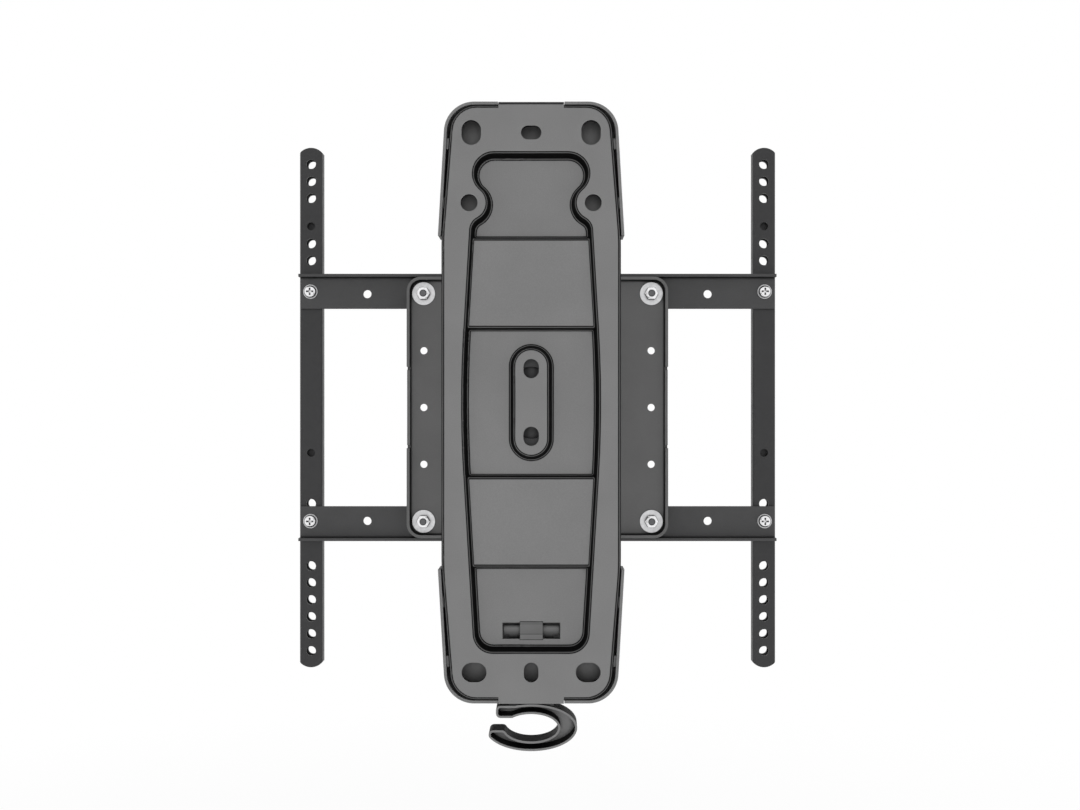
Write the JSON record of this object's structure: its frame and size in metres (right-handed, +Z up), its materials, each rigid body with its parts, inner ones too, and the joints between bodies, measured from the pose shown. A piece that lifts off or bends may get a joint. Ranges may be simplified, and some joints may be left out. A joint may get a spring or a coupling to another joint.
{
  "type": "swivel tv wall mount",
  "caption": "Full-motion wall mount for a flat television: drawn wall plate with end covers and a cable hook, folding arm, tilting head plate, cross bars and upright rails.",
  "frame": {"origin": "middle of the wall plate, in the plane of its wall side", "axes": "+X to the right seen from the wall side, +Y out from the wall into the room, +Z up"},
  "size_m": [0.42, 0.439, 0.4588],
  "materials": {
    "plate_paint": "satin dark grey powder coat",
    "arm_paint": "satin black powder coat",
    "head_paint": "satin black powder coat",
    "rail_paint": "satin black powder coat",
    "cover_plastic": "fine grained black",
    "hook_plastic": "fine grained black",
    "nylon": "smooth nylon",
    "pivot_steel": "dull zinc",
    "washer_steel": "bright zinc, flat stamped",
    "zinc_steel": "bright zinc"
  },
  "bodies": {
    "wall_bracket": {"wall_plate": "plate_paint", "pivot_bracket": "arm_paint", "top_cover": "cover_plastic", "bottom_cover": "cover_plastic", "cable_hook": "hook_plastic", "wall_pivot_bolt": "pivot_steel", "wall_pivot_nut": "pivot_steel", "wall_pivot_washers": "pivot_steel"},
    "inner_arm": {"wall_knuckle": "arm_paint", "wall_pivot_bushes": "nylon", "inner_arm_tube": "arm_paint", "elbow_plates": "arm_paint", "elbow_bolt": "pivot_steel", "elbow_nut": "pivot_steel", "elbow_washers": "pivot_steel"},
    "outer_arm": {"elbow_knuckle": "arm_paint", "elbow_bushes": "nylon", "outer_arm_tube": "arm_paint", "head_knuckle": "arm_paint", "head_pivot_bushes": "nylon"},
    "yoke": {"swivel_yoke": "arm_paint", "head_pivot_bolt": "pivot_steel", "head_pivot_nut": "pivot_steel", "head_pivot_washers": "pivot_steel", "tilt_friction_discs": "nylon"},
    "tv_head": {"tilt_bracket": "arm_paint", "tilt_bolt": "pivot_steel", "tilt_nut": "pivot_steel", "tilt_washers": "pivot_steel", "head_plate": "head_paint", "upper_bar": "rail_paint", "lower_bar": "rail_paint", "left_rail": "rail_paint", "right_rail": "rail_paint", "plate_bolts": "zinc_steel", "plate_washers": "washer_steel", "plate_nuts": "zinc_steel", "rail_screws": "zinc_steel", "rail_screw_washers": "washer_steel"}
  },
  "joints": [
    {"name": "arm_swing", "type": "hinge", "parent": "wall_bracket", "child": "inner_arm", "pos_m": [0, 0.028, 0], "axis": [0, 0, 1], "range_deg": [-90, 90]},
    {"name": "elbow", "type": "hinge", "parent": "inner_arm", "child": "outer_arm", "pos_m": [0, 0.194, 0], "axis": [0, 0, 1], "range_deg": [-90, 90]},
    {"name": "head_swivel", "type": "hinge", "parent": "outer_arm", "child": "yoke", "pos_m": [0, 0.36, 0], "axis": [0, 0, 1], "range_deg": [-45, 45]},
    {"name": "head_tilt", "type": "hinge", "parent": "yoke", "child": "tv_head", "pos_m": [0, 0.396, 0], "axis": [1, 0, 0], "range_deg": [-5, 15]}
  ]
}
